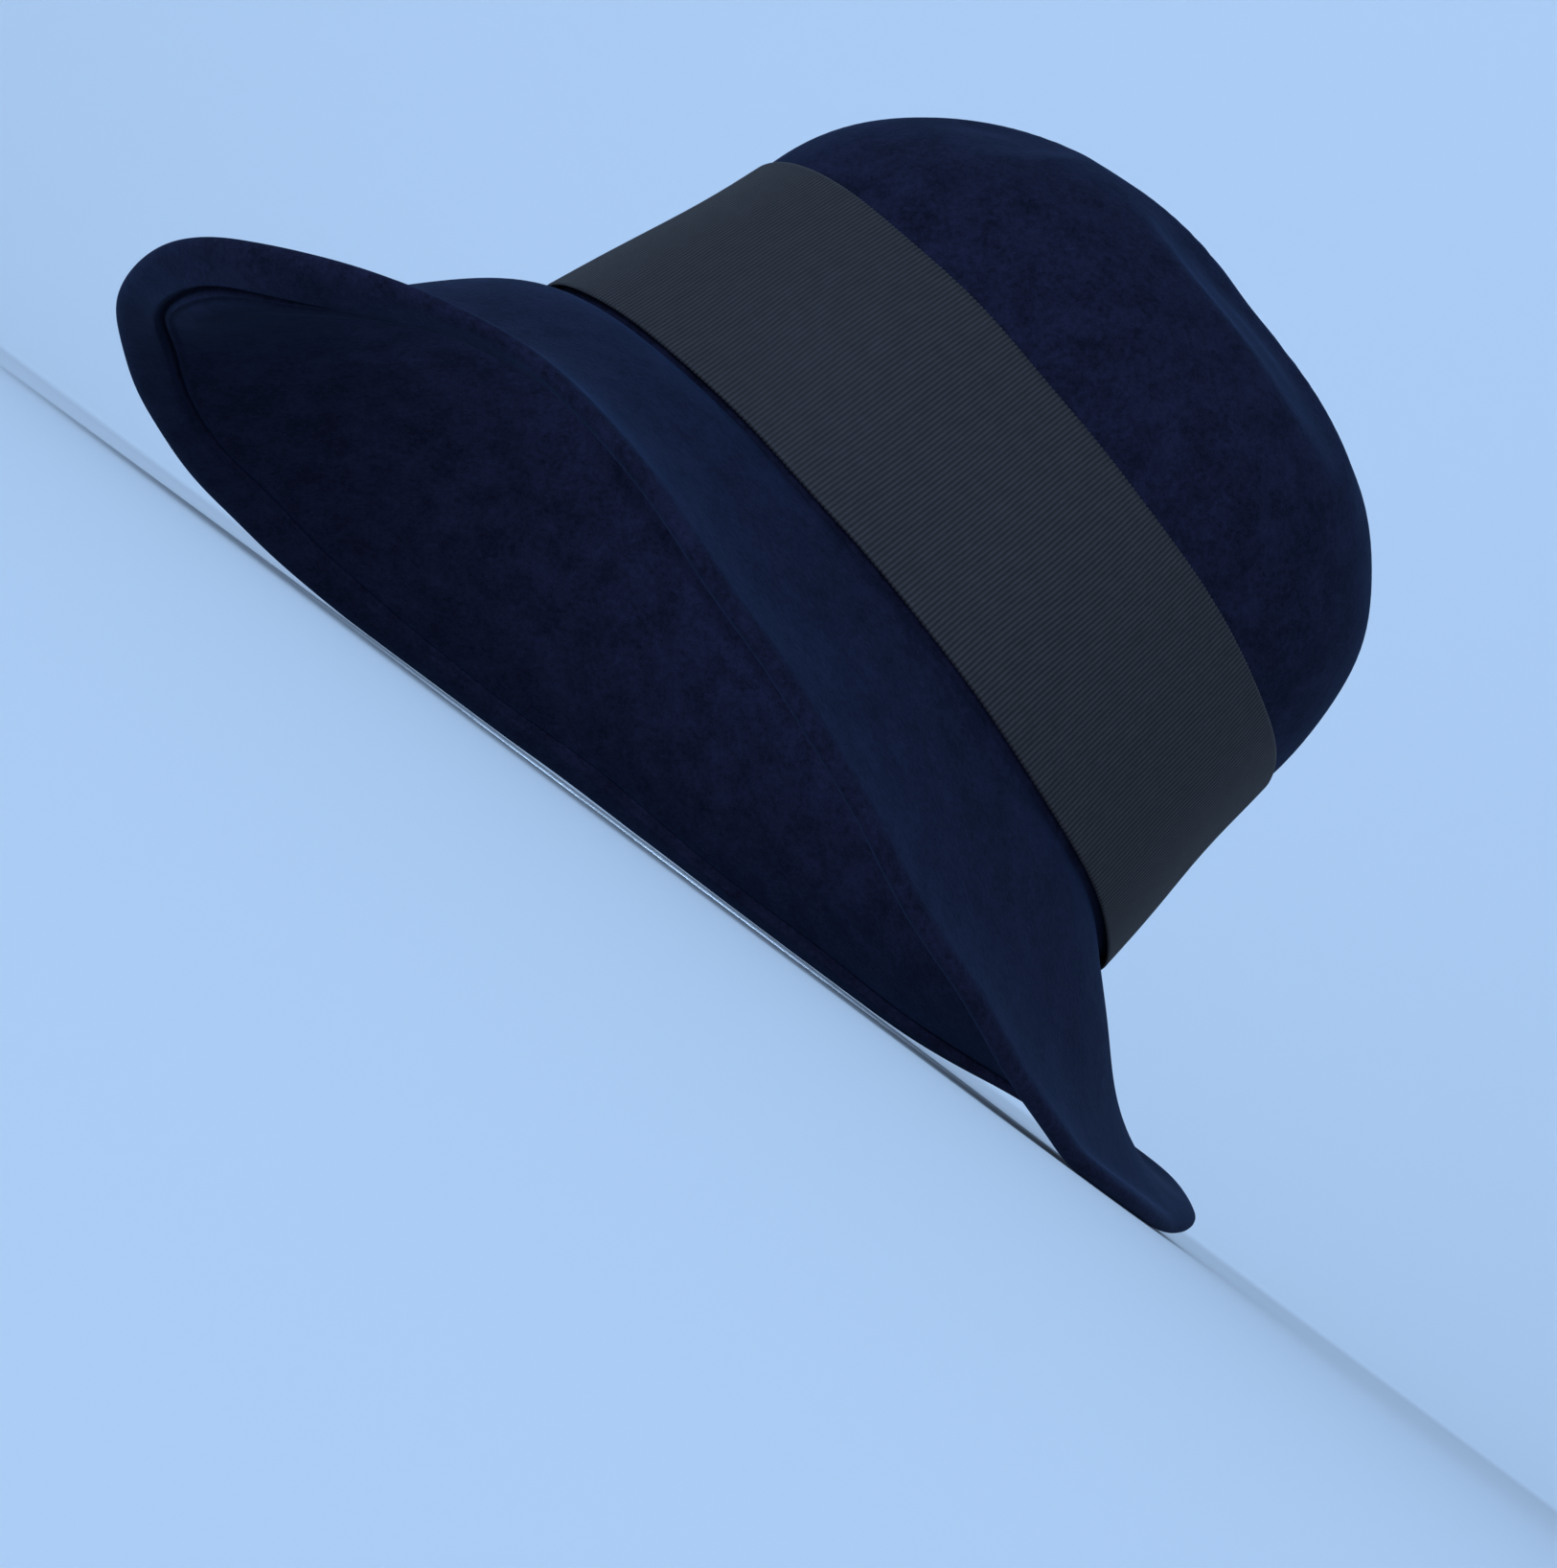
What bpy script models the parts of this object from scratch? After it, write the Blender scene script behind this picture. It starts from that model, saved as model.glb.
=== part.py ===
"""A soft felt hat with a domed crown, a wide ribbon and a drooping brim, resting on its brim.

The front of the hat faces -Y and the wearer's left is +X. Sections are worked out in the
crown's own upright frame, whose zero height is the break where the crown meets the brim.
The hat is then tilted as it rests, and its brim is flattened where it meets the ground.
"""

import math
from collections import namedtuple

import bpy
from mathutils import Euler, Vector

# Crown, measured on the outside of the felt
CROWN_LENGTH = 0.199
CROWN_WIDTH = 0.166
CROWN_HEIGHT = 0.127
CROWN_TAPER = 0.0080
SHOULDER_HEIGHT = 0.058
BREAK_PINCH = 0.0025
PINCH_HEIGHT = 0.005
OVAL_POWER = 2.15
FRONT_DOME_POWER = 2.2
BACK_DOME_POWER = 2.72
DOME_TAPER_SHARE = 0.4

# Brim and hem
BRIM_REACH = 0.060
BRIM_DROP = 0.060
FELT_THICKNESS = 0.002
HEM_WIDTH = 0.011
HEM_THICKNESS = 0.0044
HEM_STEP = 0.0006

# Ribbon
RIBBON_WIDTH = 0.057
RIBBON_THICKNESS = 0.001
RIBBON_GAP = 0.0003
RIBBON_RISE = 0.0008
LAP_WIDTH = 0.030
LAP_AZIMUTH = math.radians(262)

# How the hat sits on the ground
CROWN_PITCH = math.radians(13.7)
CROWN_LEAN = math.radians(9.6)
BRIM_GIVE = 0.0045

# Mesh fineness, with the rows across the hem as shares of its width from the edge
COLUMNS = 72
DOME_ROWS = 15
WALL_ROWS = 4
BRIM_ROWS = 8
HEM_ROWS = (1.0, 0.75, 0.5, 0.25, 0.0)
RIBBON_ROWS = 3
SHARP_ANGLE = math.radians(40)

# Brim sections at equal steps round the hat, from the front over the wearer's left: reach and
# drop of the edge as shares of BRIM_REACH and BRIM_DROP, and slope below level in degrees
BrimSection = namedtuple("BrimSection", "place reach drop break_slope edge_slope")
BRIM_SECTIONS = (
    BrimSection("front", 1.055, 1.215, 36, 20),
    BrimSection("front, a little left", 1.035, 0.93, 18, -30),
    BrimSection("front left", 0.965, 0.57, 24, 6),
    BrimSection("left", 0.95, 0.66, 42, 26),
    BrimSection("back left", 0.985, 0.81, 43, 28),
    BrimSection("back, a little left", 1.00, 0.74, 35, 10),
    BrimSection("back", 0.98, 0.265, 31, -26),
    BrimSection("back, a little right", 1.04, 0.05, 28, -50),
    BrimSection("back right", 1.00, 0.35, 37, -2),
    BrimSection("right", 0.95, 0.62, 43, 14),
    BrimSection("front right", 0.99, 1.00, 51, 38),
    BrimSection("front, a little right", 1.01, 1.25, 48, 48),
)
# How far a section runs straight from each end before it bends, as a share of its span
SECTION_PULL = 0.36

# Soft dents pressed into the top, the outer ones on both sides of its middle: place and
# radius across as shares of half the crown's width, along as shares of half its length, depth
# as a share of its height
CrownDent = namedtuple("CrownDent", "across along radius_across radius_along depth")
CROWN_DENTS = (
    CrownDent(0.50, -0.63, 0.15, 0.15, 0.034),
    CrownDent(0.56, 0.10, 0.14, 0.34, 0.038),
    CrownDent(0.00, 0.17, 0.50, 0.48, 0.037),
)

FELT_COLOUR = (0.0095, 0.0115, 0.0295, 1.0)
RIBBON_COLOUR = (0.050, 0.046, 0.047, 1.0)


def signed_power(value, power):
    return math.copysign(abs(value) ** power, value)


def around(azimuth, values):
    """Smooth closed curve through equally spaced values, read at an azimuth in radians."""
    count = len(values)
    place = azimuth / math.tau * count
    first = math.floor(place)
    part = place - first
    before, start, end, after = (values[(first + step) % count] for step in (-1, 0, 1, 2))
    return start + 0.5 * part * (end - before + part * (2 * before - 5 * start + 4 * end - after
                                 + part * (3 * (start - end) + after - before)))


def brim_section(azimuth):
    """Reach, drop and the two slopes of the brim at an azimuth."""
    _, reaches, drops, break_slopes, edge_slopes = zip(*BRIM_SECTIONS)
    return (around(azimuth, reaches) * BRIM_REACH, around(azimuth, drops) * BRIM_DROP,
            math.radians(around(azimuth, break_slopes)), math.radians(around(azimuth, edge_slopes)))


def oval(azimuth, grow=0.0):
    """Point of the crown's oval at the break, and its outward direction in plan."""
    half_width = CROWN_WIDTH / 2
    half_length = CROWN_LENGTH / 2
    x = half_width * signed_power(math.sin(azimuth), 2 / OVAL_POWER)
    y = -half_length * signed_power(math.cos(azimuth), 2 / OVAL_POWER)
    outward = Vector((signed_power(x / half_width, OVAL_POWER - 1) / half_width,
                      signed_power(y / half_length, OVAL_POWER - 1) / half_length, 0.0))
    outward.normalize()
    return Vector((x, y, 0.0)) + outward * grow, outward


def wall_point(azimuth, height, grow=0.0):
    """Point on the crown's side wall, which leans in towards the shoulder and less above it."""
    point, outward = oval(azimuth)
    above = max(height - SHOULDER_HEIGHT, 0.0)
    lean_in = CROWN_TAPER * (height - above * (1 - DOME_TAPER_SHARE)) / SHOULDER_HEIGHT
    return point + outward * (grow - lean_in) + Vector((0.0, 0.0, height))


def dent_depth(x, y):
    """How far the crown's top is pressed in at a place in plan."""
    across = abs(x) / (CROWN_WIDTH / 2)
    along = y / (CROWN_LENGTH / 2)
    return sum(dent.depth * CROWN_HEIGHT
               * math.exp(-((across - dent.across) / dent.radius_across) ** 2
                          - ((along - dent.along) / dent.radius_along) ** 2)
               for dent in CROWN_DENTS)


def dome_point(azimuth, rise):
    """Point on the dome above the shoulder: rise is 0 at the shoulder and 1 at the top."""
    front_share = (1 + math.cos(azimuth)) / 2
    power = FRONT_DOME_POWER * front_share + BACK_DOME_POWER * (1 - front_share)
    angle = rise * math.pi / 2
    shrink = math.cos(angle) ** (2 / power)
    lift = math.sin(angle) ** (2 / power)
    point = wall_point(azimuth, SHOULDER_HEIGHT + (CROWN_HEIGHT - SHOULDER_HEIGHT) * lift)
    point.x *= shrink
    point.y *= shrink
    point.z -= dent_depth(point.x, point.y) * lift
    return point


def brim_width(azimuth):
    reach, drop, _, _ = brim_section(azimuth)
    return math.hypot(reach, drop)


def brim_point(azimuth, share):
    """Point on the brim's upper side: share is 0 at the break and 1 at the edge."""
    reach, drop, break_slope, edge_slope = brim_section(azimuth)
    start, outward = oval(azimuth, -BREAK_PINCH)
    pull = math.hypot(reach, drop) * SECTION_PULL
    out = (0.0, pull * math.cos(break_slope), reach - pull * math.cos(edge_slope), reach)
    down = (0.0, pull * math.sin(break_slope), drop - pull * math.sin(edge_slope), drop)
    rest = 1 - share
    weights = (rest ** 3, 3 * rest ** 2 * share, 3 * rest * share ** 2, share ** 3)
    reach_here = sum(weight * value for weight, value in zip(weights, out))
    drop_here = sum(weight * value for weight, value in zip(weights, down))
    return start + outward * reach_here - Vector((0.0, 0.0, drop_here))


def azimuths():
    return [math.tau * column / COLUMNS for column in range(COLUMNS)]


def felt_rows():
    """Rings of the felt's outer side from the crown's top to the brim's edge, and the first
    of them that lies over the hem."""
    rows = []
    for row in range(1, DOME_ROWS + 1):
        rise = 1 - row / DOME_ROWS
        rows.append([dome_point(azimuth, rise) for azimuth in azimuths()])
    for row in range(1, WALL_ROWS + 1):
        height = PINCH_HEIGHT + (SHOULDER_HEIGHT - PINCH_HEIGHT) * (1 - row / WALL_ROWS)
        rows.append([wall_point(azimuth, height) for azimuth in azimuths()])
    rows.append([brim_point(azimuth, 0.0) for azimuth in azimuths()])
    for row in range(1, BRIM_ROWS + 1):
        share = row / BRIM_ROWS
        rows.append([brim_point(azimuth, share * (1 - (HEM_WIDTH + HEM_STEP) / brim_width(azimuth)))
                     for azimuth in azimuths()])
    first_hem_row = len(rows)
    for share in HEM_ROWS:
        rows.append([brim_point(azimuth, 1 - share * HEM_WIDTH / brim_width(azimuth))
                     for azimuth in azimuths()])
    return rows, first_hem_row


def resting_place():
    """The turn at rest, and the lift that brings the lowest stretch of brim onto the ground."""
    turn = Euler((-CROWN_PITCH, -CROWN_LEAN, 0.0)).to_matrix()
    lowest = min((turn @ brim_point(azimuth, 1.0)).z for azimuth in azimuths())
    return turn, Vector((0.0, 0.0, HEM_THICKNESS - BRIM_GIVE - lowest))


def material(name, colour, roughness):
    made = bpy.data.materials.new(name)
    made.use_nodes = True
    surface = made.node_tree.nodes["Principled BSDF"]
    surface.inputs["Base Color"].default_value = colour
    surface.inputs["Roughness"].default_value = roughness
    surface.inputs["Metallic"].default_value = 0.0
    return made


def rested(point, turn, lift):
    """The point as the hat rests: where the brim meets the ground it is bent flat."""
    placed = turn @ point + lift
    placed.z = max(placed.z, HEM_THICKNESS)
    return placed


def lofted(name, rows, top=None):
    """An open surface through closed rings of points, with an optional point that closes it."""
    points = [point for row in rows for point in row]
    faces = []
    for row in range(len(rows) - 1):
        for column in range(COLUMNS):
            beside = (column + 1) % COLUMNS
            faces.append((row * COLUMNS + column, (row + 1) * COLUMNS + column,
                          (row + 1) * COLUMNS + beside, row * COLUMNS + beside))
    if top is not None:
        points.append(top)
        for column in range(COLUMNS):
            faces.append((len(points) - 1, column, (column + 1) % COLUMNS))
    mesh = bpy.data.meshes.new(name)
    mesh.from_pydata(points, [], faces)
    return bpy.data.objects.new(name, mesh)


def thickened(made, thickness, side, thin_share, thick_points):
    """Give the surface its wall: full thickness at the named points, thinner elsewhere."""
    group = made.vertex_groups.new(name="full_thickness")
    group.add(thick_points, 1.0, "REPLACE")
    wall = made.modifiers.new("wall", "SOLIDIFY")
    wall.thickness = thickness
    wall.offset = side
    wall.use_even_offset = False
    wall.vertex_group = group.name
    wall.thickness_vertex_group = thin_share
    made.data.shade_smooth()
    made.data.set_sharp_from_angle(angle=SHARP_ANGLE)


def felt_body(collection):
    """Crown, brim and the hem turned under the brim's edge, all one piece of felt."""
    rows, first_hem_row = felt_rows()
    turn, lift = resting_place()
    rows = [[rested(point, turn, lift) for point in row] for row in rows]
    top = rested(dome_point(0.0, 1.0), turn, lift)
    made = lofted("felt_body", rows, top)
    hem = list(range(first_hem_row * COLUMNS, len(rows) * COLUMNS))
    thickened(made, HEM_THICKNESS, -1.0, FELT_THICKNESS / HEM_THICKNESS, hem)
    made.data.materials.append(material("navy_wool_felt", FELT_COLOUR, 0.95))
    collection.objects.link(made)
    return made


def ribbon_band(collection):
    """The ribbon round the crown, with its ends lapped on the wearer's right."""
    turn, lift = resting_place()
    rows = []
    for row in range(RIBBON_ROWS + 1):
        height = RIBBON_RISE + RIBBON_WIDTH * (1 - row / RIBBON_ROWS)
        rows.append([turn @ wall_point(azimuth, height, RIBBON_GAP) + lift for azimuth in azimuths()])
    made = lofted("ribbon_band", rows)
    mean_radius = (CROWN_LENGTH + CROWN_WIDTH) / 4
    half_lap = LAP_WIDTH / 2 / mean_radius
    lapped = [column for column, azimuth in enumerate(azimuths())
              if abs(azimuth - LAP_AZIMUTH) < half_lap]
    doubled = [row * COLUMNS + column for row in range(RIBBON_ROWS + 1) for column in lapped]
    thickened(made, RIBBON_THICKNESS * 2, 1.0, 0.5, doubled)
    made.data.materials.append(material("grosgrain_ribbon", RIBBON_COLOUR, 0.75))
    collection.objects.link(made)
    return made


def centre_over_origin(pieces):
    """Move the whole hat level so that the middle of its outline is over the origin."""
    seen = [piece.evaluated_get(bpy.context.evaluated_depsgraph_get()) for piece in pieces]
    corners = [Vector(corner) for piece in seen for corner in piece.bound_box]
    for axis in (0, 1):
        low = min(corner[axis] for corner in corners)
        high = max(corner[axis] for corner in corners)
        for piece in pieces:
            piece.location[axis] = -(low + high) / 2


def main():
    for old in list(bpy.data.objects):
        bpy.data.objects.remove(old, do_unlink=True)
    collection = bpy.data.collections.new("hat")
    bpy.context.scene.collection.children.link(collection)
    pieces = [felt_body(collection), ribbon_band(collection)]
    centre_over_origin(pieces)


main()
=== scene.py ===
"""A soft felt hat with a ribbed ribbon, resting on its brim on a plain studio floor.

Sections are worked out in the crown's own upright frame, whose zero height is the break where
the crown meets the brim. They are then tilted and pressed onto the ground as the solids are.
The front of the hat faces -Y and the wearer's left is +X. Lengths are in metres.
"""

import math
from collections import namedtuple

import bpy
import numpy as np
from bpy.props import FloatProperty, FloatVectorProperty, IntProperty, PointerProperty
from bpy.types import Operator, Panel, PropertyGroup
from mathutils import Euler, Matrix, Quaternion, Vector


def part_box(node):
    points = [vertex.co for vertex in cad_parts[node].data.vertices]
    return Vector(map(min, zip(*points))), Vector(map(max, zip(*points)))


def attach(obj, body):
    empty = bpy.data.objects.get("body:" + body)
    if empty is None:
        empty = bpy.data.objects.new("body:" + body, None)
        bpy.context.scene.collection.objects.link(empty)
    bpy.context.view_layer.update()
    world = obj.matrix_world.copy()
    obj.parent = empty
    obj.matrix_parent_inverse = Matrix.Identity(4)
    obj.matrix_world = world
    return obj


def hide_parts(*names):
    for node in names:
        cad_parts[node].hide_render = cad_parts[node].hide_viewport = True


bl_info = {
    "name": "Felt hat",
    "version": (1, 0, 0),
    "blender": (4, 5, 0),
    "location": "3D View > Sidebar > Felt Hat",
    "description": "Builds a soft felt hat with a ribbed ribbon over its packed solids",
    "category": "Add Mesh",
}

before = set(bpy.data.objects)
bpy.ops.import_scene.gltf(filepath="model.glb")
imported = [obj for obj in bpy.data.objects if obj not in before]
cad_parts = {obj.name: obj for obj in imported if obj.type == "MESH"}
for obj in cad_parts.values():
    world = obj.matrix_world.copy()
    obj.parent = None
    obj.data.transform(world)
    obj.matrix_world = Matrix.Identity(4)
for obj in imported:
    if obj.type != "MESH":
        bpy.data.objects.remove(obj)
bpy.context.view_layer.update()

# Crown, measured on the outside of the felt
CROWN_LENGTH = 0.199
CROWN_WIDTH = 0.166
CROWN_HEIGHT = 0.127
SHOULDER_HEIGHT = 0.058
# How far the wall leans in up to the shoulder, and the share of that lean which the dome keeps
CROWN_TAPER = 0.0080
DOME_TAPER_SHARE = 0.4
# How far the wall's foot is drawn in at the break, and the height below which it is
BREAK_PINCH = 0.0025
PINCH_HEIGHT = 0.005
# Height above the break of the point that the drawn-in foot curves towards
PINCH_CORNER = 0.0006
# Powers of the oval and of the dome's curves: 2 is an ellipse, and more is squarer
OVAL_POWER = 2.15
FRONT_DOME_POWER = 2.2
BACK_DOME_POWER = 2.72

# Brim and hem
BRIM_REACH = 0.060
BRIM_DROP = 0.060
FELT_THICKNESS = 0.002
HEM_THICKNESS = 0.0044
# The felt turns over this far from the edge, so that the edge is pressed thin
FOLD_REACH = 0.0042

# Ribbon: its width, its gap from the felt, and the height of its lower selvedge
RIBBON_WIDTH = 0.057
RIBBON_GAP = 0.0003
RIBBON_RISE = 0.0008
# The lap of its two ends, and the length over which the upper end climbs onto the lower one
LAP_WIDTH = 0.030
LAP_AZIMUTH = math.radians(262)
LAP_CLIMB = 0.008
# Steps once round the crown by which the ribbon's length is measured
LENGTH_STEPS = 4000
POINTS_PER_RIB = 4
# Power of a rib's rounding: the higher it is, the flatter the crest and the sharper the groove
RIB_ROUNDING = 3
# The selvedges: how far their teeth stand out as a share of the ribs' depth, and their
# thickness as a share of the ribbon's
TOOTH_SHARE = 1.2
SELVEDGE_SHARE = 0.6
# Rows of points across the face: close ones beside each selvedge, and even ones between
ROWS_BY_SELVEDGE = (0.0005, 0.0012)
EVEN_ROWS = 12
EVEN_ROWS_START = 0.004

# How the hat sits on the ground: the crown leans back and to the wearer's right, and the
# brim's lowest stretch is pressed up, with a rounded bend where it leaves the ground
CROWN_PITCH = math.radians(13.7)
CROWN_LEAN = math.radians(9.6)
BRIM_GIVE = 0.0045
BEND_ROUNDING = 0.0008

# Brim sections at equal steps round the hat, from the front over the wearer's left: reach and
# drop of the edge as shares of BRIM_REACH and BRIM_DROP, and slope below level in degrees
BrimSection = namedtuple("BrimSection", "place reach drop break_slope edge_slope")
BRIM_SECTIONS = (
    BrimSection("front", 1.055, 1.215, 36, 20),
    BrimSection("front, a little left", 1.035, 0.93, 18, -30),
    BrimSection("front left", 0.965, 0.57, 24, 6),
    BrimSection("left", 0.95, 0.66, 42, 26),
    BrimSection("back left", 0.985, 0.81, 43, 28),
    BrimSection("back, a little left", 1.00, 0.74, 35, 10),
    BrimSection("back", 0.98, 0.265, 31, -26),
    BrimSection("back, a little right", 1.04, 0.05, 28, -50),
    BrimSection("back right", 1.00, 0.35, 37, -2),
    BrimSection("right", 0.95, 0.62, 43, 14),
    BrimSection("front right", 0.99, 1.00, 51, 38),
    BrimSection("front, a little right", 1.01, 1.25, 48, 48),
)
# How far a section runs straight from each end before it bends, as a share of its span
SECTION_PULL = 0.36

# A soft roll of the brim's front left, which hangs lower than in its sections: where its middle
# is round the hat and from the edge, how far it spreads each way, and how far it hangs down
ROLL_AZIMUTH = math.radians(19)
ROLL_SPREAD = math.radians(17)
ROLL_FROM_EDGE = 0.019
ROLL_WIDTH = 0.0085
ROLL_DEPTH = 0.0056

# Soft dents pressed into the top, the outer ones on both sides of its middle: place and
# radius across as shares of half the crown's width, along as shares of half its length, depth
# as a share of its height, power of its fall, and rise of its lip as a share of its depth
CrownDent = namedtuple("CrownDent", "across along radius_across radius_along depth fall lip")
CROWN_DENTS = (
    CrownDent(0.50, -0.63, 0.15, 0.15, 0.034, 1.9, 0.12),
    CrownDent(0.56, 0.10, 0.14, 0.34, 0.038, 2.1, 0.12),
    CrownDent(0.00, 0.17, 0.50, 0.48, 0.037, 1.0, 0.0),
)
# Where a dent's lip is, and how wide, as shares of the dent's radius
LIP_PLACE = 1.25
LIP_WIDTH = 0.2

# The hem's cut edge and the groove that it presses into the brim, ring by ring: distance past
# the hem's width, and depth below the brim's upper side
HemRing = namedtuple("HemRing", "past_hem depth")
HEM_CUT = (
    HemRing(-0.0002, 0.0043),
    HemRing(0.0, 0.004),
    HemRing(-0.0001, 0.0026),
    HemRing(0.0, 0.0015),
    HemRing(0.0004, 0.0011),
    HemRing(0.001, 0.0012),
)
# The hem's face ends this far short of the cut edge, which is rounded
HEM_ROUNDING = 0.0008
# Waves of the cut edge: how many go round the hat, where they start, in radians, and how much
# of the hem's waver each one has
HemWave = namedtuple("HemWave", "count start")
HEM_WAVES = (HemWave(5, 0), HemWave(9, 2), HemWave(14, 4))
HEM_WAVE_SHARE = 0.5

# A second pressed line beside the hem, ring by ring: distance past the hem's width, and rise
# as a share of its full rise
WeltRing = namedtuple("WeltRing", "past_hem rise")
WELT = (
    WeltRing(0.0016, 0.6),
    WeltRing(0.0024, 1.0),
    WeltRing(0.003, 0.8),
    WeltRing(0.0034, 0.0),
)
# How far it stands out where it is strongest, where that is, and the power of its fading
WELT_RISE = 0.0009
WELT_AZIMUTH = math.radians(20)
WELT_FADE_POWER = 3
# The brim's plain underside starts this far past the hem's width
UNDERSIDE_START = 0.0044

# The stretches of the felt's outer side, in the order in which its rings are made: the place
# of a ring is 0 at the crown's top and grows by 1 from each stretch to the next
DOME, WALL, PINCH, BRIM = 0, 1, 2, 3
RINGS = {DOME: 44, WALL: 12, PINCH: 6, BRIM: 44}
# The plainer inside has one ring for so many of the outer side
INSIDE_STEP = 2
FOLD_RINGS = 12
HEM_RINGS = 5

# Unevenness of hand-blocked felt: slow waves in many directions
WAVES = 14
SHORTEST_WAVE = 0.030
LONGEST_WAVE = 0.080

# Camera at the photograph's angle, just above the ground
CAMERA_PLACE = (0.8924, -0.0007, 0.0061)
CAMERA_AIM = (-0.0069, 0.0258, 0.0299)
CAMERA_ROLL = math.radians(36.8)
CAMERA_LENS_MM = 90.0
CAMERA_SENSOR_MM = 36.0
CAMERA_NEAREST = 0.01

# Soft lamps: where they stand and point, width and height of the lit face, power in watts.
# The lamp under the hat gives back the light that a pale floor throws up into it. The camera
# sees the lamps' light but not the lamps.
Softbox = namedtuple("Softbox", "name place aim width height power")
SOFTBOXES = (
    Softbox("softbox_front", (0.9, -1.6, 1.0), (0.0, 0.0, 0.08), 1.2, 1.2, 5.0),
    Softbox("softbox_low", (2.5, -0.8, 0.45), (0.0, 0.0, 0.03), 2.4, 0.7, 72.0),
    Softbox("softbox_under_hat", (0.015, 0.01, 0.006), (-0.6, 0.0, 0.5), 0.10, 0.14, 0.48),
    Softbox("softbox_on_backdrop", (-1.2, 0.0, 1.6), (-3.8, 0.0, 0.8), 1.6, 1.0, 15.0),
)
DAYLIGHT_STRENGTH = 0.67

# The round sweep: radii of its floor's rings, and radius and rings of its curve up to the wall
SWEEP_COLUMNS = 96
FLOOR_RADII = (0.01, 0.5, 1.0, 1.6, 2.2)
CURVE_RADIUS = 1.6
CURVE_RINGS = 16

# Length of one wave of Blender's wave texture at scale 1
WAVE_TEXTURE_LENGTH = math.tau / 20
# Small step by which the felt's directions are measured, in radians and in places of rings
NUDGE = 1e-4
UP = np.array((0.0, 0.0, 1.0))


def linear_colour(code):
    """A colour written as sRGB hex, such as #1c2233, as linear red, green, blue and opacity."""
    parts = [int(code[start:start + 2], 16) / 255 for start in (1, 3, 5)]
    linear = [part / 12.92 if part <= 0.04045 else ((part + 0.055) / 1.055) ** 2.4
              for part in parts]
    return (*linear, 1.0)


class HatSizes(PropertyGroup):
    """Sizes that can change without leaving the solids' own shape."""

    columns: IntProperty(
        name="Points Round", description="Points in each ring of the felt",
        default=384, min=96, max=512)
    unevenness: FloatProperty(
        name="Unevenness", description="How far the hand-blocked felt strays from its true shape",
        default=0.0007, min=0.0, max=0.003, unit="LENGTH", precision=4)
    hem_width: FloatProperty(
        name="Hem Width", description="Width of the felt turned under the brim's edge",
        default=0.011, min=0.006, max=0.02, unit="LENGTH", precision=4)
    hem_waver: FloatProperty(
        name="Hem Waver", description="How far the hem's cut edge strays from its line",
        default=0.0008, min=0.0, max=0.002, unit="LENGTH", precision=4)
    ribbon_thickness: FloatProperty(
        name="Ribbon Thickness", description="Thickness of the ribbon without its ribs",
        default=0.0007, min=0.0004, max=0.001, unit="LENGTH", precision=5)
    rib_pitch: FloatProperty(
        name="Rib Pitch", description="Distance from one rib of the ribbon to the next",
        default=0.0011, min=0.0006, max=0.003, unit="LENGTH", precision=5)
    rib_depth: FloatProperty(
        name="Rib Depth", description="How deep the grooves between the ribs are",
        default=0.00025, min=0.0, max=0.0005, unit="LENGTH", precision=5)


class HatColours(PropertyGroup):
    """Colours of the hat and of its studio."""

    felt: FloatVectorProperty(
        name="Felt", description="Colour of the dyed wool felt",
        subtype="COLOR", size=4, min=0.0, max=1.0, default=linear_colour("#151524"))
    ribbon: FloatVectorProperty(
        name="Ribbon", description="Colour of the ribbon's yarn",
        subtype="COLOR", size=4, min=0.0, max=1.0, default=linear_colour("#272324"))
    floor: FloatVectorProperty(
        name="Floor", description="Colour of the studio floor and backdrop",
        subtype="COLOR", size=4, min=0.0, max=1.0, default=linear_colour("#f0f1f3"))
    light: FloatVectorProperty(
        name="Light", description="Colour of the cool daylight in the studio",
        subtype="COLOR", size=4, min=0.0, max=1.0, default=linear_colour("#adcdf3"))


def signed_power(value, power):
    """A power of each value's size, with the value's own sign."""
    return np.sign(value) * np.abs(value) ** power


def unit(vectors):
    """The vectors' directions, with length 1."""
    return vectors / np.linalg.norm(vectors, axis=-1, keepdims=True)


def around(azimuth, values):
    """Smooth closed curve through equally spaced values, read at azimuths in radians."""
    values = np.array(values, dtype=float)
    place = azimuth / math.tau * len(values)
    first = np.floor(place).astype(int)
    part = place - first
    before, start, end, after = (values[(first + step) % len(values)] for step in (-1, 0, 1, 2))
    bend = 2 * before - 5 * start + 4 * end - after
    twist = 3 * (start - end) + after - before
    return start + 0.5 * part * (end - before + part * (bend + part * twist))


def brim_section(azimuth):
    """Reach, drop and the two slopes of the brim at azimuths."""
    _, reaches, drops, break_slopes, edge_slopes = zip(*BRIM_SECTIONS)
    return (around(azimuth, reaches) * BRIM_REACH, around(azimuth, drops) * BRIM_DROP,
            np.radians(around(azimuth, break_slopes)), np.radians(around(azimuth, edge_slopes)))


def brim_width(azimuth):
    """Straight distance from the break to the brim's edge at azimuths."""
    reach, drop, _, _ = brim_section(azimuth)
    return np.hypot(reach, drop)


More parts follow.
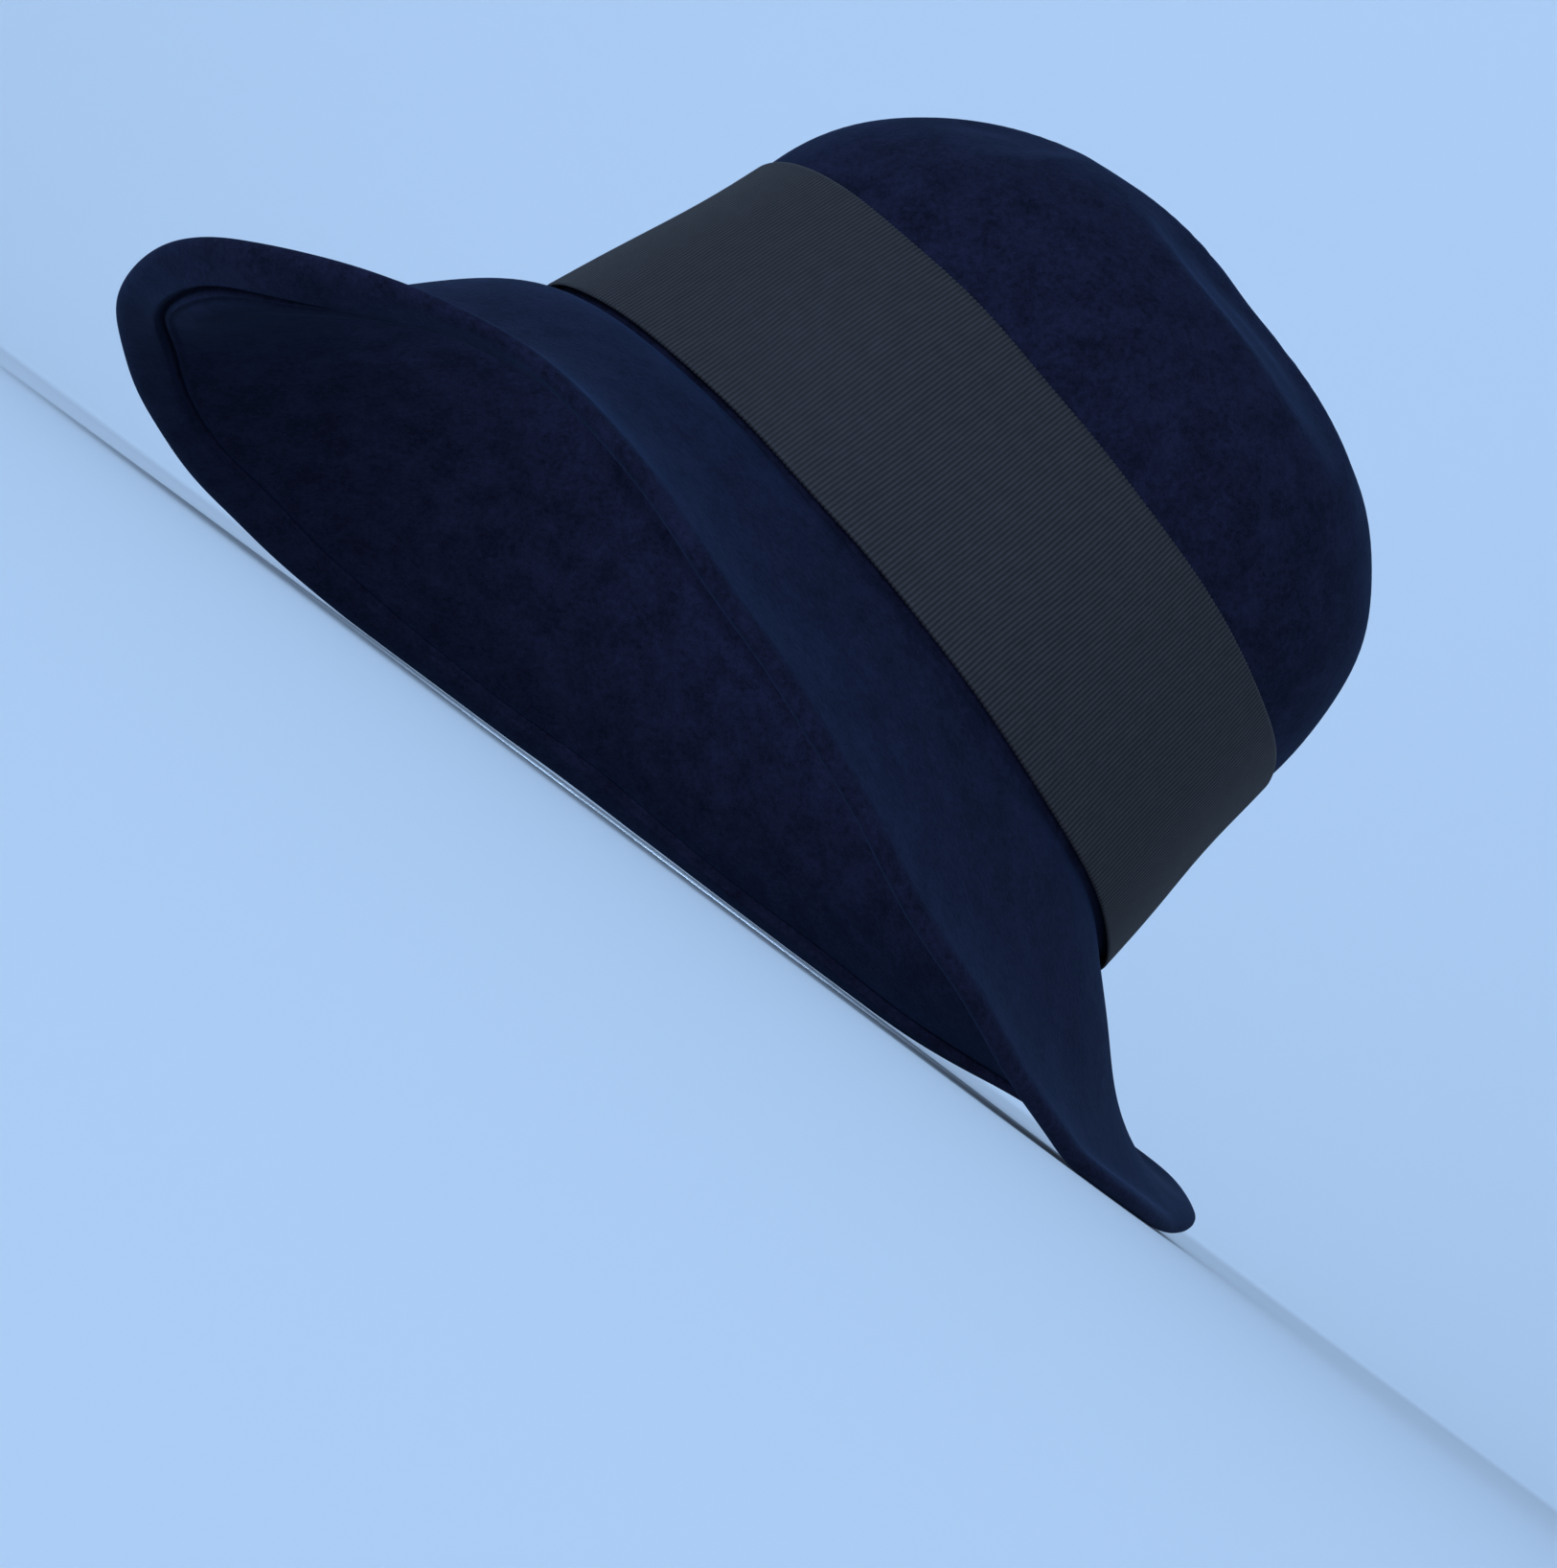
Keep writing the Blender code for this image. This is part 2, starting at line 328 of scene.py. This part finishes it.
def oval(azimuth, grow=0.0):
    """Points of the crown's oval at the break, and their outward directions in plan."""
    half_width = CROWN_WIDTH / 2
    half_length = CROWN_LENGTH / 2
    x = half_width * signed_power(np.sin(azimuth), 2 / OVAL_POWER)
    y = -half_length * signed_power(np.cos(azimuth), 2 / OVAL_POWER)
    outward = unit(np.stack((signed_power(x / half_width, OVAL_POWER - 1) / half_width,
                             signed_power(y / half_length, OVAL_POWER - 1) / half_length,
                             0 * x), axis=-1))
    return np.stack((x, y, 0 * x), axis=-1) + outward * grow, outward


def wall_points(azimuth, height, grow=0.0):
    """Points on the crown's side wall, which leans in towards the shoulder and less above it."""
    points, outward = oval(azimuth)
    above = np.maximum(height - SHOULDER_HEIGHT, 0.0)
    lean_in = CROWN_TAPER * (height - above * (1 - DOME_TAPER_SHARE)) / SHOULDER_HEIGHT
    return points + outward * (grow - lean_in)[..., None] + UP * height[..., None]


def dent_depth(x, y):
    """How far the crown's top is pressed in at places in plan."""
    across = np.abs(x) / (CROWN_WIDTH / 2)
    along = y / (CROWN_LENGTH / 2)
    pressed = 0.0
    for dent in CROWN_DENTS:
        away = np.hypot((across - dent.across) / dent.radius_across,
                        (along - dent.along) / dent.radius_along)
        hollow = np.exp(-away ** (2 * dent.fall))
        lip = dent.lip * np.exp(-((away - LIP_PLACE) / LIP_WIDTH) ** 2)
        pressed += dent.depth * CROWN_HEIGHT * (hollow - lip)
    return pressed


def dome_points(azimuth, rise):
    """Points on the dome above the shoulder: rise is 0 at the shoulder and 1 at the top."""
    front_share = (1 + np.cos(azimuth)) / 2
    power = FRONT_DOME_POWER * front_share + BACK_DOME_POWER * (1 - front_share)
    angle = np.clip(rise, 0.0, 1.0) * math.pi / 2
    shrink = np.maximum(np.cos(angle), 0.0) ** (2 / power)
    lift = np.sin(angle) ** (2 / power)
    points = wall_points(azimuth, SHOULDER_HEIGHT + (CROWN_HEIGHT - SHOULDER_HEIGHT) * lift)
    points[..., :2] *= shrink[..., None]
    points[..., 2] -= dent_depth(points[..., 0], points[..., 1]) * lift
    return points


def brim_points(azimuth, share):
    """Points on the brim's upper side: share is 0 at the break and 1 at the edge."""
    reach, drop, break_slope, edge_slope = brim_section(azimuth)
    start, outward = oval(azimuth, -BREAK_PINCH)
    pull = np.hypot(reach, drop) * SECTION_PULL
    out = (0.0, pull * np.cos(break_slope), reach - pull * np.cos(edge_slope), reach)
    down = (0.0, pull * np.sin(break_slope), drop - pull * np.sin(edge_slope), drop)
    rest = 1 - share
    weights = (rest ** 3, 3 * rest ** 2 * share, 3 * rest * share ** 2, share ** 3)
    reach_here = sum(weight * value for weight, value in zip(weights, out))
    drop_here = sum(weight * value for weight, value in zip(weights, down))
    round_to_roll = (azimuth - ROLL_AZIMUTH + math.pi) % math.tau - math.pi
    from_edge = rest * np.hypot(reach, drop)
    roll = ROLL_DEPTH * np.exp(-(round_to_roll / ROLL_SPREAD) ** 2
                               - ((from_edge - ROLL_FROM_EDGE) / ROLL_WIDTH) ** 2)
    return start + outward * reach_here[..., None] - UP * (drop_here + roll)[..., None]


def pinch_points(azimuth, share):
    """Points of the small hollow where the wall turns into the brim, from the wall outwards."""
    rest = (1 - share)[..., None]
    share = share[..., None]
    wall_foot = wall_points(azimuth, PINCH_HEIGHT + 0 * azimuth)
    brim_start = brim_points(azimuth, 0 * azimuth)
    corner = brim_start + UP * PINCH_CORNER
    return rest ** 2 * wall_foot + 2 * rest * share * corner + share ** 2 * brim_start


def outer_points(azimuth, place):
    """Points on the felt's outer side, in the crown's upright frame."""
    stretch = int(np.mean(place))
    part = place - stretch
    if stretch <= DOME:
        return dome_points(azimuth, 1 - part)
    if stretch == WALL:
        return wall_points(azimuth, SHOULDER_HEIGHT + (PINCH_HEIGHT - SHOULDER_HEIGHT) * part)
    if stretch == PINCH:
        return pinch_points(azimuth, part)
    return brim_points(azimuth, place - BRIM)


def hand_shaped(points, unevenness):
    """The points moved by slow waves, as felt that was blocked and brushed by hand is uneven."""
    chance = np.random.default_rng(7)
    moved = np.array(points)
    for _ in range(WAVES):
        direction = unit(chance.normal(size=3))
        sway = unit(chance.normal(size=3)) * unevenness / math.sqrt(WAVES)
        length = chance.uniform(SHORTEST_WAVE, LONGEST_WAVE)
        start = chance.uniform(0, math.tau)
        moved += np.sin(points @ direction * math.tau / length + start)[..., None] * sway
    return moved


def resting_place():
    """The turn at rest, and the shift that brings the lowest stretch of brim onto the ground."""
    turn = np.array(Euler((-CROWN_PITCH, -CROWN_LEAN, 0.0)).to_matrix())
    azimuth = np.linspace(0, math.tau, 360, endpoint=False)
    edge = brim_points(azimuth, 1 + 0 * azimuth) @ turn.T
    low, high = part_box("felt_body")
    middle = (np.array(low + high) - edge.min(axis=0) - edge.max(axis=0)) / 2
    return turn, np.array((middle[0], middle[1], HEM_THICKNESS - BRIM_GIVE - edge[:, 2].min()))


TURN, SHIFT = resting_place()


def rested(points):
    """The points as the hat rests: where the brim meets the ground it is bent flat."""
    placed = points @ TURN.T + SHIFT
    over = placed[..., 2] - HEM_THICKNESS
    placed[..., 2] = HEM_THICKNESS + 0.5 * (over + np.sqrt(over ** 2 + BEND_ROUNDING ** 2))
    return placed


def felt_ring(azimuth, place, depth, unevenness):
    """A ring of points at a depth under the felt's outer side, with its outward directions and
    the directions that point on towards the brim's edge."""
    def laid(azimuths_here, places_here):
        return rested(hand_shaped(outer_points(azimuths_here, places_here), unevenness))

    place = place + 0 * azimuth
    onward = laid(azimuth, place + NUDGE) - laid(azimuth, np.maximum(place - NUDGE, 0.0))
    along = laid(azimuth + NUDGE, place) - laid(azimuth - NUDGE, place)
    normal = unit(np.cross(onward, along))
    points = laid(azimuth, place) - normal * (depth + 0 * azimuth)[..., None]
    return points, normal, unit(onward)


def smooth_object(name, points, faces):
    """An object made of points and faces, shaded smooth and linked to the scene."""
    mesh = bpy.data.meshes.new(name)
    mesh.from_pydata(points.tolist(), [], faces)
    mesh.shade_smooth()
    made = bpy.data.objects.new(name, mesh)
    bpy.context.scene.collection.objects.link(made)
    return made


def closed_mesh(name, rings, tops=()):
    """An object through closed rings of points, with a fan to a top point at each end."""
    count = len(rings[0])
    points = np.concatenate([*rings, *(np.array(top)[None] for top in tops)])
    ring = np.arange(len(rings) - 1)[:, None] * count
    column = np.arange(count)[None]
    beside = (column + 1) % count
    faces = np.stack((ring + column, ring + count + column, ring + count + beside, ring + beside),
                     axis=-1).reshape(-1, 4).tolist()
    if tops:
        first = len(rings) * count
        last_ring = first - count
        for here, there in zip(range(count), beside[0].tolist()):
            faces.append((first, here, there))
            faces.append((first + 1, last_ring + there, last_ring + here))
    return smooth_object(name, points, faces)


def ribbon_mesh(name, grid, along, heights):
    """An object through rows of points along the ribbon, which go round its section and are
    shut at both ends, with its length and width as its UV map in metres."""
    rows, count = grid.shape[:2]
    row = np.arange(rows)[:, None]
    column = np.arange(count - 1)[None]
    under = (row + 1) % rows
    faces = np.stack((row * count + column, row * count + column + 1,
                      under * count + column + 1, under * count + column), axis=-1)
    faces = faces.reshape(-1, 4).tolist()
    faces.append([index * count for index in range(rows)])
    faces.append([index * count + count - 1 for index in reversed(range(rows))])
    made = smooth_object(name, grid.reshape(-1, 3), faces)
    layer = made.data.uv_layers.new(name="length_and_width")
    corners = np.empty(len(made.data.loops), dtype=np.int32)
    made.data.loops.foreach_get("vertex_index", corners)
    flat = np.stack((along[corners % count], np.array(heights)[corners // count]), axis=-1)
    layer.data.foreach_set("uv", flat.astype(np.float32).ravel())
    return made


def add_node(tree, kind, settings=None, links=None):
    """Add a node with its settings and socket values, and link its inputs to other nodes."""
    node = tree.nodes.new(kind)
    for key, value in (settings or {}).items():
        if key in node.inputs:
            node.inputs[key].default_value = value
        else:
            setattr(node, key, value)
    for key, source in (links or {}).items():
        tree.links.new(source, node.inputs[key])
    return node


def new_material(name):
    """A new material, its node tree and its empty surface output."""
    made = bpy.data.materials.new(name)
    made.use_nodes = True
    tree = made.node_tree
    tree.nodes.clear()
    output = add_node(tree, "ShaderNodeOutputMaterial")
    return made, tree, output


def brushed_wool_felt(colour):
    """Wool felt, dyed in the body, blocked over steam and brushed to a short nap.

    Its scales scatter light so widely that nothing mirrors in it. The nap's tips catch light
    at a glancing view, which shows as a pale bloom along edges, and the fibres' crossing
    leaves the faint cloudy mottling that tells felt from plain paint.
    """
    made, tree, output = new_material("brushed_wool_felt")
    place = add_node(tree, "ShaderNodeTexCoord").outputs["Object"]
    # Clouds of denser dye, about 9 mm across
    clouds = add_node(tree, "ShaderNodeTexNoise",
                      {"Scale": 1 / 0.009, "Detail": 4.0, "Roughness": 0.6}, {"Vector": place})
    # Tufts of nap, about 1 mm across, drawn as 1.6 mm so that they show
    tufts = add_node(tree, "ShaderNodeTexNoise",
                     {"Scale": 1 / 0.0016, "Detail": 3.0, "Roughness": 0.7}, {"Vector": place})
    # Fibres are 0.02 mm thick, drawn as strands of about 0.7 mm so that they show
    fibres = add_node(tree, "ShaderNodeTexNoise",
                      {"Scale": 1 / 0.0007, "Detail": 2.0, "Distortion": 1.5}, {"Vector": place})
    # The three patterns add up to about 1.5, where the dye keeps its own colour
    mottle = add_node(tree, "ShaderNodeMath", {"operation": "ADD"})
    tree.links.new(clouds.outputs["Fac"], mottle.inputs[0])
    tree.links.new(tufts.outputs["Fac"], mottle.inputs[1])
    speckle = add_node(tree, "ShaderNodeMath", {"operation": "ADD"})
    tree.links.new(mottle.outputs[0], speckle.inputs[0])
    tree.links.new(fibres.outputs["Fac"], speckle.inputs[1])
    shade = add_node(tree, "ShaderNodeMapRange",
                     {"From Min": 1.2, "From Max": 1.8, "To Min": 0.5, "To Max": 1.5},
                     {"Value": speckle.outputs[0]})
    dyed = add_node(tree, "ShaderNodeVectorMath", {"operation": "SCALE"},
                    {"Scale": shade.outputs["Result"]})
    dyed.inputs[0].default_value = colour[:3]
    nap = add_node(tree, "ShaderNodeBump", {"Strength": 0.5, "Distance": 0.0002},
                   {"Height": tufts.outputs["Fac"]})
    strands = add_node(tree, "ShaderNodeBump", {"Strength": 0.6, "Distance": 0.0001},
                       {"Height": fibres.outputs["Fac"], "Normal": nap.outputs["Normal"]})
    surface = add_node(tree, "ShaderNodeBsdfPrincipled",
                       {"Roughness": 0.95, "Specular IOR Level": 0.04, "Sheen Weight": 0.05,
                        "Sheen Roughness": 0.45, "Sheen Tint": (0.22, 0.45, 1.0, 1.0)},
                       {"Base Color": dyed.outputs[0], "Normal": strands.outputs["Normal"]})
    tree.links.new(surface.outputs[0], output.inputs["Surface"])
    return made


def woven_grosgrain(colour, rib_pitch):
    """Grosgrain, woven of fine warp over thick weft cords, so that it is ribbed across.

    The warp's filaments give each rib a soft gleam on its crest and leave its groove dark.
    Its colour carries a painted highlight on each rib's crest and painted shade in each groove.
    """
    made, tree, output = new_material("woven_grosgrain")
    place = add_node(tree, "ShaderNodeTexCoord").outputs["UV"]
    # Painted highlight on the ribs' crests and painted shade in their grooves, in step with the
    # ribs of
    #         # the mesh. Real ribs are about 0.8 mm apart, drawn at the rib pitch of 1.1 mm so
    #         that they show.
    ribs = add_node(tree, "ShaderNodeTexWave",
                    {"wave_type": "BANDS", "bands_direction": "X",
                     "Scale": WAVE_TEXTURE_LENGTH / rib_pitch}, {"Vector": place})
    painted_rib_gleam_and_shade = add_node(tree, "ShaderNodeMapRange", {"To Min": 0.45, "To Max": 1.45},
                         {"Value": ribs.outputs["Fac"]})
    # Warp threads are 0.25 mm apart across the ribbon's width, drawn as 0.5 mm so that they show
    warp = add_node(tree, "ShaderNodeTexWave",
                    {"wave_type": "BANDS", "bands_direction": "Y",
                     "Scale": WAVE_TEXTURE_LENGTH / 0.0005, "Distortion": 0.6, "Detail": 1.0},
                    {"Vector": place})
    # Slubs and uneven dye along the yarn, a few millimetres long
    slubs = add_node(tree, "ShaderNodeTexNoise",
                     {"Scale": 1 / 0.004, "Detail": 5.0, "Roughness": 0.65}, {"Vector": place})
    shade = add_node(tree, "ShaderNodeMapRange",
                     {"From Min": 0.3, "From Max": 0.7, "To Min": 0.85, "To Max": 1.15},
                     {"Value": slubs.outputs["Fac"]})
    # The slubs' own tone times the ribs' painted highlight and painted shade, which the colour
    # carries
    woven = add_node(tree, "ShaderNodeMath", {"operation": "MULTIPLY"})
    tree.links.new(shade.outputs["Result"], woven.inputs[0])
    tree.links.new(painted_rib_gleam_and_shade.outputs["Result"], woven.inputs[1])
    dyed = add_node(tree, "ShaderNodeVectorMath", {"operation": "SCALE"},
                    {"Scale": woven.outputs[0]})
    dyed.inputs[0].default_value = colour[:3]
    threads = add_node(tree, "ShaderNodeBump", {"Strength": 0.4, "Distance": 0.00006},
                       {"Height": warp.outputs["Fac"]})
    surface = add_node(tree, "ShaderNodeBsdfPrincipled",
                       {"Roughness": 0.6, "Specular IOR Level": 0.2, "Sheen Weight": 0.03,
                        "Sheen Roughness": 0.5},
                       {"Base Color": dyed.outputs[0], "Normal": threads.outputs["Normal"]})
    tree.links.new(surface.outputs[0], output.inputs["Surface"])
    return made


def matt_painted_backdrop(colour):
    """A studio sweep in matt emulsion, rolled on evenly, which shows no gloss or texture."""
    made, tree, output = new_material("matt_painted_backdrop")
    surface = add_node(tree, "ShaderNodeBsdfPrincipled",
                       {"Base Color": colour, "Roughness": 1.0, "Specular IOR Level": 0.0})
    tree.links.new(surface.outputs[0], output.inputs["Surface"])
    return made


class HAT_OT_felt_body(Operator):
    """Make the crown and brim, with the hem turned under the brim's edge."""

    bl_idname = "hat.felt_body"
    bl_label = "Felt Crown and Brim"

    def execute(self, context):
        sizes = context.scene.hat_sizes
        azimuth = np.linspace(0, math.tau, sizes.columns, endpoint=False)
        width = brim_width(azimuth)
        waves = sum(np.sin(wave.count * azimuth + wave.start) for wave in HEM_WAVES)
        hem = sizes.hem_width + sizes.hem_waver * HEM_WAVE_SHARE * waves
        fold_start = BRIM + 1 - FOLD_REACH / width

        def ring(place, depth=0.0):
            return felt_ring(azimuth, place, depth, sizes.unevenness)[0]

        def from_edge(distance, depth):
            return ring(BRIM + 1 - distance / width, depth)

        # The outer side, down to where the brim's edge starts to turn over. At the very top a
        # ring would be a single point, so a fan closes the mesh there.
        rings = []
        for stretch in (DOME, WALL, PINCH):
            for step in range(1 if stretch == DOME else 0, RINGS[stretch]):
                rings.append(ring(stretch + step / RINGS[stretch]))
        for step in range(RINGS[BRIM]):
            rings.append(ring(BRIM + (fold_start - BRIM) * step / RINGS[BRIM]))
        # The rounded fold of the edge, which is half an ellipse
        top, out_of_felt, onward = felt_ring(azimuth, fold_start, 0.0, sizes.unevenness)
        fold_radius = HEM_THICKNESS / 2
        for step in range(FOLD_RINGS + 1):
            turned = math.pi * step / FOLD_RINGS
            rings.append(top + out_of_felt * fold_radius * (math.cos(turned) - 1)
                         + onward * FOLD_REACH * math.sin(turned))
        # The hem's face, its cut edge and the pressed line, which fades away from the front
        for step in range(1, HEM_RINGS + 1):
            share = step / HEM_RINGS
            distance = FOLD_REACH + (hem - HEM_ROUNDING - FOLD_REACH) * share
            rings.append(from_edge(distance, HEM_THICKNESS))
        for past_hem, depth in HEM_CUT:
            rings.append(from_edge(hem + past_hem, depth))
        welt = np.maximum(np.cos(azimuth - WELT_AZIMUTH), 0.0) ** WELT_FADE_POWER
        for past_hem, rise in WELT:
            rings.append(from_edge(hem + past_hem, FELT_THICKNESS + WELT_RISE * rise * welt))
        # The inside, from the brim's plain underside up to the crown's top
        underside = 1 - (hem + UNDERSIDE_START) / width
        for stretch, reach in ((BRIM, underside), (PINCH, 1), (WALL, 1), (DOME, 1)):
            count = RINGS[stretch] // INSIDE_STEP
            for step in range(count):
                rings.append(ring(stretch + reach * (1 - step / count), FELT_THICKNESS))
        crest = rested(hand_shaped(dome_points(np.zeros(1), np.ones(1)), sizes.unevenness))[0]
        below = crest - TURN @ UP * FELT_THICKNESS
        made = closed_mesh("felt_crown_and_brim", rings, (crest, below))
        made.data.materials.append(brushed_wool_felt(context.scene.hat_colours.felt))
        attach(made, "root")
        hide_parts("felt_body")
        return {"FINISHED"}


class HAT_OT_ribbon_band(Operator):
    """Make the ribbed ribbon round the crown, lapped on the wearer's right."""

    bl_idname = "hat.ribbon_band"
    bl_label = "Ribbed Ribbon"

    def execute(self, context):
        sizes = context.scene.hat_sizes
        # Azimuths at equal steps of length along the ribbon, so that all ribs are as wide
        fine = np.linspace(LAP_AZIMUTH, LAP_AZIMUTH + 2 * math.tau, 2 * LENGTH_STEPS + 1)
        line = wall_points(fine, RIBBON_WIDTH / 2 + 0 * fine)
        lengths = np.concatenate(([0.0], np.cumsum(np.linalg.norm(np.diff(line, axis=0), axis=1))))
        once_round = lengths[LENGTH_STEPS]
        ribs = round((once_round + LAP_WIDTH) / sizes.rib_pitch)
        along = np.linspace(0, once_round + LAP_WIDTH, ribs * POINTS_PER_RIB + 1)
        azimuth = np.interp(along, lengths, fine)
        phase = (np.arange(len(along)) % POINTS_PER_RIB) / POINTS_PER_RIB
        crest = 1 - np.abs(2 * phase - 1) ** RIB_ROUNDING
        # The second end lies on the first, so it climbs by the ribbon's thickness before it
        climb = np.clip((along - once_round + LAP_CLIMB) / LAP_CLIMB, 0.0, 1.0)
        rise = (sizes.ribbon_thickness + sizes.rib_depth) * climb * climb * (3 - 2 * climb)
        # Rows round the section, as height and distance out from the ribbon's back. The
        # selvedges' teeth keep step with the ribs.
        teeth = sizes.rib_depth * TOOTH_SHARE * crest
        selvedge = sizes.ribbon_thickness * SELVEDGE_SHARE
        face = sizes.ribbon_thickness + sizes.rib_depth * (crest - 1)
        heights = (*ROWS_BY_SELVEDGE,
                   *np.linspace(EVEN_ROWS_START, RIBBON_WIDTH - EVEN_ROWS_START, EVEN_ROWS),
                   *(RIBBON_WIDTH - height for height in reversed(ROWS_BY_SELVEDGE)))
        rows = [(-teeth, selvedge)]
        rows += [(height, face) for height in heights]
        rows.append((RIBBON_WIDTH + teeth, selvedge))
        rows += [(height, 0.0) for height in (RIBBON_WIDTH, RIBBON_WIDTH / 2, 0.0)]
        grid = [rested(hand_shaped(wall_points(azimuth, RIBBON_RISE + height + 0 * azimuth,
                                               RIBBON_GAP + rise + out), sizes.unevenness))
                for height, out in rows]
        made = ribbon_mesh("ribbon_round_the_crown", np.array(grid), along,
                           [float(np.mean(height)) for height, _ in rows])
        made.data.materials.append(woven_grosgrain(context.scene.hat_colours.ribbon,
                                                   float(along[-1]) / ribs))
        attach(made, "root")
        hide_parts("ribbon_band")
        return {"FINISHED"}


class HAT_OT_stage(Operator):
    """Set up the plain sweep, the soft lights and the camera."""

    bl_idname = "hat.stage"
    bl_label = "Studio"

    def execute(self, context):
        scene = context.scene
        colours = scene.hat_colours
        azimuth = np.linspace(0, math.tau, SWEEP_COLUMNS, endpoint=False)
        ring = np.stack((np.sin(azimuth), -np.cos(azimuth), 0 * azimuth), axis=-1)
        rings = [ring * radius for radius in FLOOR_RADII]
        for step in range(1, CURVE_RINGS + 1):
            turned = math.pi / 2 * step / CURVE_RINGS
            rings.append(ring * (FLOOR_RADII[-1] + CURVE_RADIUS * math.sin(turned))
                         + UP * CURVE_RADIUS * (1 - math.cos(turned)))
        sweep = closed_mesh("studio_sweep", rings[::-1])
        sweep.data.materials.append(matt_painted_backdrop(colours.floor))
        world = bpy.data.worlds.new("studio_daylight")
        world.use_nodes = True
        daylight = world.node_tree.nodes["Background"]
        daylight.inputs["Color"].default_value = colours.light
        daylight.inputs["Strength"].default_value = DAYLIGHT_STRENGTH
        scene.world = world
        for box in SOFTBOXES:
            light = bpy.data.lights.new(box.name, "AREA")
            light.shape = "RECTANGLE"
            light.size = box.width
            light.size_y = box.height
            light.energy = box.power
            light.color = colours.light[:3]
            lamp = bpy.data.objects.new(box.name, light)
            lamp.location = box.place
            lamp.visible_camera = False
            towards = Vector(box.aim) - Vector(box.place)
            lamp.rotation_euler = towards.to_track_quat("-Z", "Y").to_euler()
            scene.collection.objects.link(lamp)
        lens = bpy.data.cameras.new("photo_angle")
        lens.sensor_width = CAMERA_SENSOR_MM
        lens.lens = CAMERA_LENS_MM
        lens.clip_start = CAMERA_NEAREST
        camera = bpy.data.objects.new("photo_angle", lens)
        camera.location = CAMERA_PLACE
        look = Vector(CAMERA_AIM) - Vector(CAMERA_PLACE)
        camera.rotation_mode = "QUATERNION"
        camera.rotation_quaternion = Quaternion(look, -CAMERA_ROLL) @ look.to_track_quat("-Z", "Y")
        scene.collection.objects.link(camera)
        scene.camera = camera
        scene.view_settings.view_transform = "Standard"
        return {"FINISHED"}


class HAT_PT_pieces(Panel):
    """Lists the pieces of the hat with their sizes and colours."""

    bl_idname = "HAT_PT_pieces"
    bl_label = "Felt Hat"
    bl_space_type = "VIEW_3D"
    bl_region_type = "UI"
    bl_category = "Felt Hat"

    def draw(self, context):
        for group in (context.scene.hat_sizes, context.scene.hat_colours):
            for key in group.bl_rna.properties.keys():
                if key not in ("rna_type", "name"):
                    self.layout.prop(group, key)
        for piece in PIECES:
            self.layout.operator(piece.bl_idname)


PIECES = (HAT_OT_felt_body, HAT_OT_ribbon_band, HAT_OT_stage)
CLASSES = (HatSizes, HatColours, *PIECES, HAT_PT_pieces)


def register():
    for made in CLASSES:
        bpy.utils.register_class(made)
    bpy.types.Scene.hat_sizes = PointerProperty(type=HatSizes)
    bpy.types.Scene.hat_colours = PointerProperty(type=HatColours)


def unregister():
    del bpy.types.Scene.hat_sizes
    del bpy.types.Scene.hat_colours
    for made in reversed(CLASSES):
        bpy.utils.unregister_class(made)


def main():
    register()
    bpy.ops.hat.felt_body()
    bpy.ops.hat.ribbon_band()
    bpy.ops.hat.stage()


if __name__ == "__main__":
    main()
